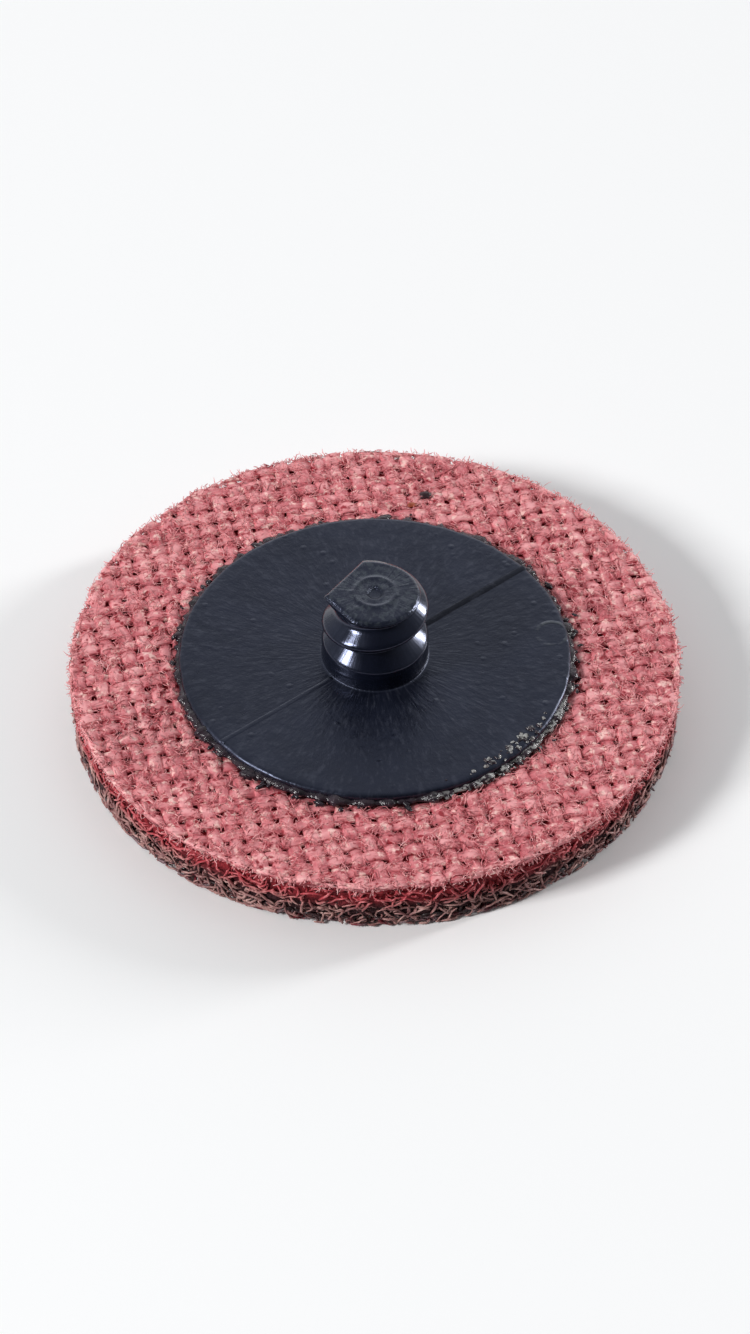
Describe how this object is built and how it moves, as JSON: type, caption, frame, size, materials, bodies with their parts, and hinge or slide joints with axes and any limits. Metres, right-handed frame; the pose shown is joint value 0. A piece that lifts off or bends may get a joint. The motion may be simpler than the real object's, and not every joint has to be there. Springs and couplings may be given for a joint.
{
  "type": "surface conditioning disc",
  "caption": "Round nonwoven abrasive disc with a woven cloth back and a moulded button whose coarse-threaded stud screws into a holder pad.",
  "frame": {"origin": "centre of the abrasive face, on the surface that the disc lies on", "axes": "+Z along the stud, away from the abrasive face; the disc lies in XY; +X to the right in the picture"},
  "size_m": [0.05, 0.05, 0.0129],
  "materials": {
    "abrasive_fibre": "matte open fibre mat with grain",
    "woven_cloth": "matte resin-coated weave",
    "melted_adhesive": "semi-gloss melt",
    "moulded_nylon": "satin moulding"
  },
  "bodies": {
    "root": {"abrasive_web": "abrasive_fibre", "scrim_backing": "woven_cloth", "adhesive_bead": "melted_adhesive", "threaded_button": "moulded_nylon"}
  },
  "joints": []
}
